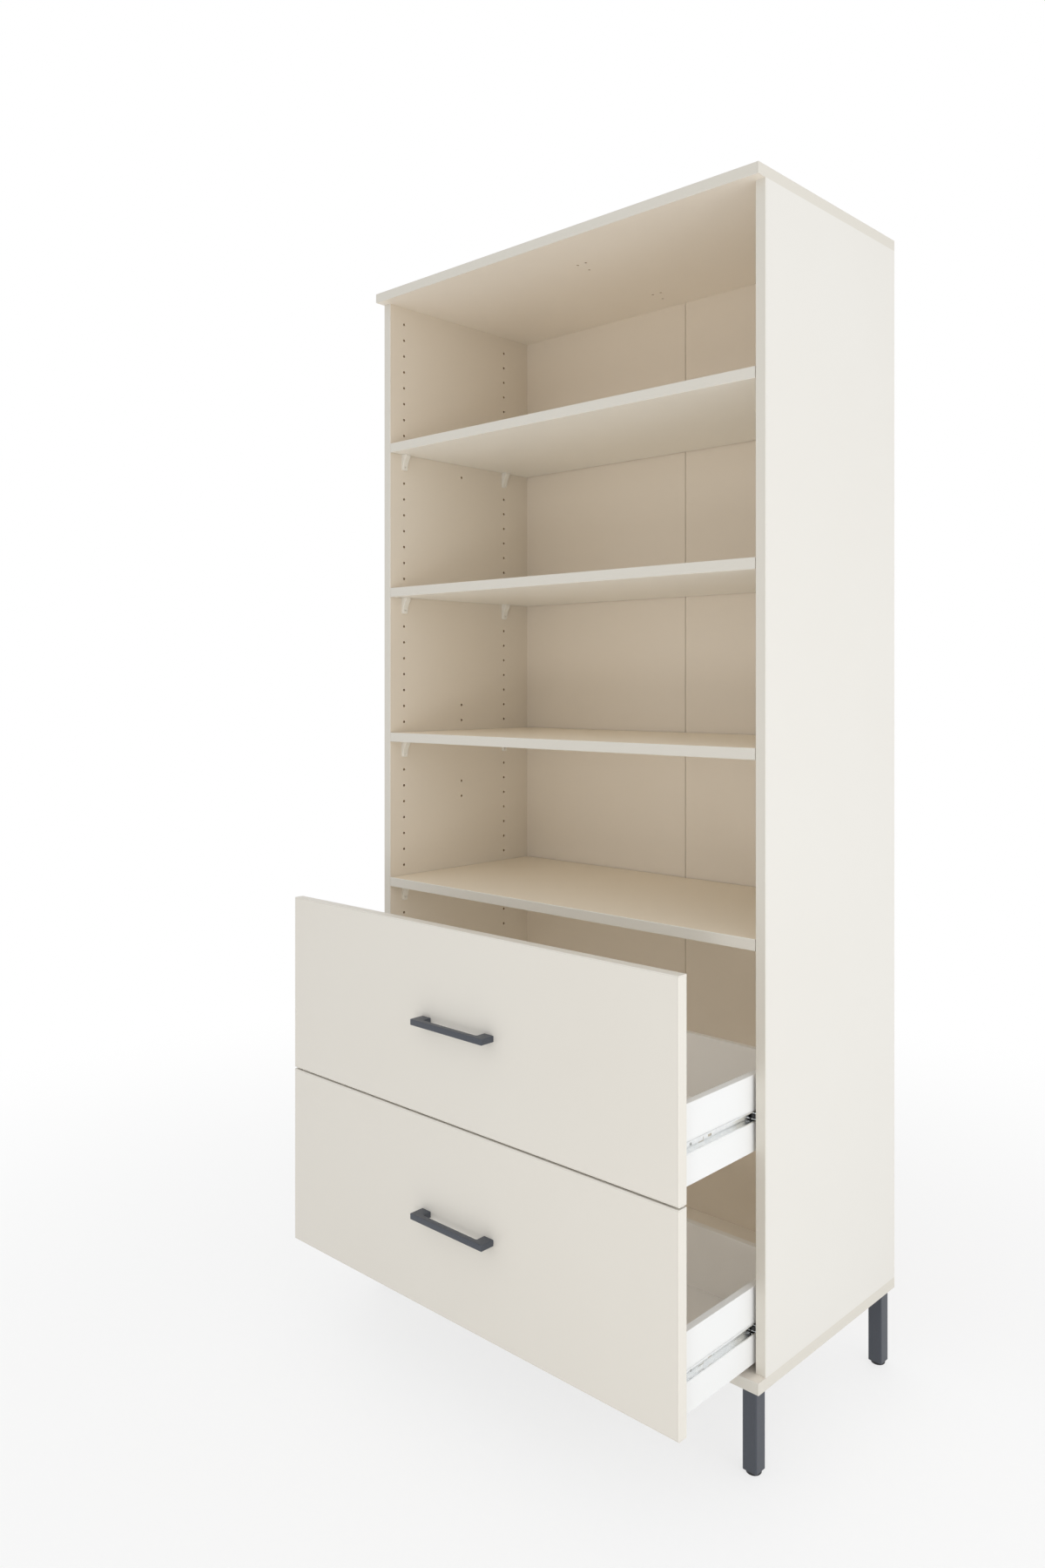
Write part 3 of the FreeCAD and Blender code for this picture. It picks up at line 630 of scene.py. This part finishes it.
def supportShells(low, high, wall, look):
    # section at each height: a rectangle out from the wall with round outer corners; its reach runs from
    # the foot to the nose as a power of the height, and its width closes in a quarter circle at the tail
    hand = np.sign(wall)
    middle = (low[1] + high[1]) / 2
    tall = high[2] - low[2]
    height = tall * crowded(look["levels"], look["levelCrowding"])
    span = look["dimpleSpan"]
    dense = look["pinRise"] + look["dimple"] * np.linspace(-span, span, look["dimpleRows"])
    height = np.union1d(height, dense)[:, None]
    sweep = np.clip((height - look["pinRise"]) / (tall - look["lip"] - look["pinRise"]), 0, 1)
    ends = rounding(tall - height, look["edge"]) + rounding(height, look["edge"])
    reach = look["foot"] + (look["reach"] - look["foot"]) * sweep ** look["hollow"] - ends
    half = (high[1] - low[1]) / 2 - ends - rounding(height, look["tail"])
    turn = np.linspace(0, pi / 2, look["cornerSteps"])
    run = np.linspace(-1, 1, look["columns"])
    run = (1 - look["columnCrowding"]) * run + look["columnCrowding"] * run ** 3    # closer at the dimple
    corner = look["corner"]
    outRun = np.concatenate(((0, 1), np.ones(len(turn) * 2 + len(run)), (1, 0)))
    outArc = np.concatenate(((0, 0), np.sin(turn), np.ones(len(run)), np.cos(turn), (0, 0)))
    sideRun = np.concatenate(((-1, -1), -np.ones(len(turn)), run, np.ones(len(turn)), (1, 1)))
    sideArc = np.concatenate(((-1, -1), -np.cos(turn), 0 * run, np.sin(turn), (1, 1)))
    out = outRun * (reach - corner) + corner * outArc
    side = sideRun * (half - corner) + corner * sideArc
    away = np.hypot(side, height - look["pinRise"])
    onFront = outArc > 0.99
    out = out - look["dimpleDepth"] * np.clip((look["dimple"] - away) / look["rim"], 0, 1) * onFront
    wedge = np.stack((wall - hand * out, middle + side, low[2] + height + 0 * out), -1)
    lean = np.linspace(0, pi / 2, look["tipSteps"])
    length = abs(high[0] - low[0]) - look["reach"]
    radius = np.concatenate(((look["pin"],), look["pin"] - look["pinTip"] * (1 - np.cos(lean))))[:, None]
    along = np.concatenate(((-look["pinRoot"],), length - look["pinTip"] * (1 - np.sin(lean))))[:, None]
    start = np.array((wall, middle, low[2] + look["pinRise"]))
    pin = aimed(revolved(radius, along, look["pinSides"]), start, np.array((hand, 0, 0)))
    return [tube(wedge), tube(pin)]


def wallOf(low, high):
    # inner face of the side panel that a solid stands at
    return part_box("side_panel_right")[0].x if low[0] + high[0] > 0 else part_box("side_panel_left")[1].x


for number in range(1, 5):
    node = "shelf_supports_%d" % number
    shells = []
    for low, high in solidsOf(node):
        shells += supportShells(low, high, wallOf(low, high), supportShape)
    putPiece("wedge_supports_%d" % number, shells, "carcass", "support_plastic", node)
print("shelf supports made: 4 sets")


# Screws: pan or flat heads with a cross recess, and a threaded shank
screwShape = {
    "sides": 40, "ridge": 0.09, "stepsPerPitch": 6, "taper": 0.6, "rim": 0.4, "crownSteps": 18,
    "armHalf": 0.115, "armReach": 0.30, "recess": 0.36, "recessSide": 0.03,
}
screwKinds = {
    "leg_screws": {"axis": 2, "sense": 1, "body": "carcass", "head": 8.0 * mm, "headHeight": 2.2 * mm,
                   "shank": 4.0 * mm, "pitch": 1.8 * mm},
    "rail_screws": {"axis": 0, "sense": 1, "body": "carcass", "head": 6.4 * mm, "headHeight": 2.0 * mm,
                    "shank": 4.0 * mm, "pitch": 1.8 * mm},
}
for drawer in drawers:
    screwKinds[drawer + "_drawer_handle_screws"] = {
        "axis": 1, "sense": -1, "body": drawer + "_drawer", "head": 8.0 * mm, "headHeight": 2.4 * mm,
        "shank": 4.0 * mm, "pitch": 0.7 * mm}
    screwKinds[drawer + "_drawer_channel_screws"] = {
        "axis": 0, "sense": -1, "body": drawer + "_drawer", "head": 5.6 * mm, "headHeight": 0.35 * mm,
        "shank": 3.0 * mm, "pitch": 1.35 * mm}


def screwRings(length, kind, look):
    # profile from the tip up the shank to the crown; the thread takes off a triangle wave of
    # (depth / pitch - turn), and the recess sinks the crown where a cross of two bars lies
    turn = np.arange(look["sides"])[None, :] / look["sides"]
    rows = int(length / kind["pitch"] * look["stepsPerPitch"]) + 2
    depth = np.linspace(length, 0, rows)[:, None]
    wave = np.abs((depth / kind["pitch"] - turn) % 1 - 0.5) * 2
    taper = np.clip((length - depth) / kind["shank"], 0, 1) ** look["taper"]
    shankRadius = (kind["shank"] / 2 - look["ridge"] * kind["shank"] * wave) * taper
    lean = np.linspace(0, pi / 2, look["crownSteps"])[:, None]
    rim = kind["head"] / 2
    crown = -kind["headHeight"] * (look["rim"] + (1 - look["rim"]) * np.sin(lean))
    headRadius = np.concatenate((np.full((1, 1), rim), rim * np.cos(lean))) + 0 * turn
    headDepth = np.concatenate((np.zeros((1, 1)), crown)) + 0 * turn
    east = np.abs(headRadius * np.cos(2 * pi * turn))
    north = np.abs(headRadius * np.sin(2 * pi * turn))
    soft = look["recessSide"] * kind["shank"]
    bar = np.clip((look["armHalf"] * kind["shank"] - np.minimum(east, north)) / soft, 0, 1)
    end = np.clip((look["armReach"] * kind["shank"] - np.maximum(east, north)) / soft, 0, 1)
    headDepth = headDepth + look["recess"] * kind["shank"] * bar * end
    headDepth[0] = 0
    radius = np.concatenate((shankRadius, headRadius))
    return revolved(radius, np.concatenate((depth + 0 * turn, headDepth)), look["sides"])


def screwShell(low, high, kind, look):
    axis = kind["axis"]
    way = np.zeros(3)
    way[axis] = kind["sense"] * (np.sign(low[0] + high[0]) if axis == 0 else 1)
    start = (low + high) / 2
    start[axis] = (low if way[axis] > 0 else high)[axis] + way[axis] * kind["headHeight"]
    length = high[axis] - low[axis] - kind["headHeight"]
    return tube(aimed(screwRings(length, kind, look), start, way))


for node, kind in screwKinds.items():
    shells = [screwShell(low, high, kind, screwShape) for low, high in solidsOf(node)]
    putPiece(node.replace("_screws", "_cross_screws"), shells, kind["body"], "screw_steel", node)
    print("screws made:", node, len(shells))


# Balls of the runners
ballShape = {"rows": 13, "sides": 24}


def ballShell(low, high, look):
    # x = r cos a cos t, y = r cos a sin t, z = r sin a; the CAD ball has twelve flats that touch this sphere
    radius = (high - low)[2] / 2 / np.sqrt(2)
    tilt = np.linspace(-pi / 2, pi / 2, look["rows"])[:, None]
    return tube(revolved(radius * np.cos(tilt), radius * np.sin(tilt), look["sides"]) + (low + high) / 2)


for drawer in drawers:
    node = drawer + "_cage_balls"
    shells = [ballShell(low, high, ballShape) for low, high in solidsOf(node)]
    putPiece(drawer + "_runner_balls", shells, drawer + "_cages", "ball_steel", node)
print("runner balls made")


# Glides under the legs
glideShape = {
    "disc": 5.0 * mm, "round": 1.6 * mm, "roundSteps": 7, "bevel": 0.3 * mm, "sides": 48,
    "plugHalf": 10.85 * mm, "plugRows": 40, "overlap": 0.5 * mm, "ribs": 4, "ribDepth": 0.35 * mm,
}


def glideShells(low, high, look):
    # disc: a flat profile with quarter-round lower and bevelled upper edges, turned
    # plug: a square ring that swells in ribs up its height
    centre = (low + high) / 2
    centre[2] = low[2]
    outer = (high[0] - low[0]) / 2
    top = look["disc"]
    lean = np.linspace(0, pi / 2, look["roundSteps"])
    inward = look["round"] * (1 - np.sin(lean))
    upward = look["round"] * (1 - np.cos(lean))
    radius = np.concatenate(((0,), outer - inward, (outer, outer - look["bevel"], 0)))[:, None]
    height = np.concatenate(((0,), upward, (top - look["bevel"], top, top)))[:, None]
    disc = revolved(radius, height, look["sides"]) + centre
    tall = high[2] - low[2]
    level = np.linspace(top - look["overlap"], tall, look["plugRows"])[:, None]
    half = look["plugHalf"] - look["ribDepth"] * np.abs(np.sin(pi * look["ribs"] * level / tall))
    turn = np.arange(look["sides"]) * 2 * pi / look["sides"]
    square = np.maximum(np.abs(np.cos(turn)), np.abs(np.sin(turn)))
    plug = revolved(half / square, level, look["sides"]) + centre
    return [tube(disc), tube(plug)]


shells = [shell for low, high in solidsOf("leg_glides") for shell in glideShells(low, high, glideShape)]
putPiece("round_leg_glides", shells, "carcass", "black_plastic", "leg_glides")
print("glides made")


# Guides in the front ends of the rails
guideShape = {
    "nose": 2.4 * mm, "sideNose": 0.6, "squareness": 0.25, "rows": 44, "rowCrowding": 0.7, "columns": 64,
    "slot": 1.3 * mm, "slotFrom": 6.0 * mm, "slotTo": 20.0 * mm, "slotDepth": 1.6 * mm,
    "slotSide": 0.4 * mm, "slotEnd": 0.5 * mm,
}


def guideShell(low, high, look):
    # a rounded rectangle carried along Y, drawn in at the nose by a quarter circle and grooved along its
    # inner face; the rectangle is cos t and sin t, each raised to a small power
    centre = (low + high) / 2
    half = (high - low) / 2
    along = (high[1] - low[1]) * crowded(look["rows"], look["rowCrowding"])[:, None]
    pull = rounding(along, look["nose"])
    turn = np.arange(look["columns"]) * 2 * pi / look["columns"]
    east = np.sign(np.cos(turn)) * np.abs(np.cos(turn)) ** look["squareness"]
    north = np.sign(np.sin(turn)) * np.abs(np.sin(turn)) ** look["squareness"]
    x = (half[0] - look["sideNose"] * pull) * east
    z = (half[2] - pull) * north
    inward = -np.sign(centre[0])
    onInner = east * inward > 0.9
    groove = np.clip((look["slot"] - np.abs(z)) / look["slotSide"], 0, 1) * onInner
    groove = groove * np.clip((along - look["slotFrom"]) / look["slotEnd"], 0, 1)
    groove = groove * np.clip((look["slotTo"] - along) / look["slotEnd"], 0, 1)
    x = x - inward * look["slotDepth"] * groove
    return tube(np.stack((centre[0] + x, low[1] + along + 0 * x, centre[2] + z), -1))


shells = [guideShell(low, high, guideShape) for low, high in solidsOf("rail_guides")]
putPiece("runner_end_guides", shells, "carcass", "black_plastic", "rail_guides")
print("rail guides made")
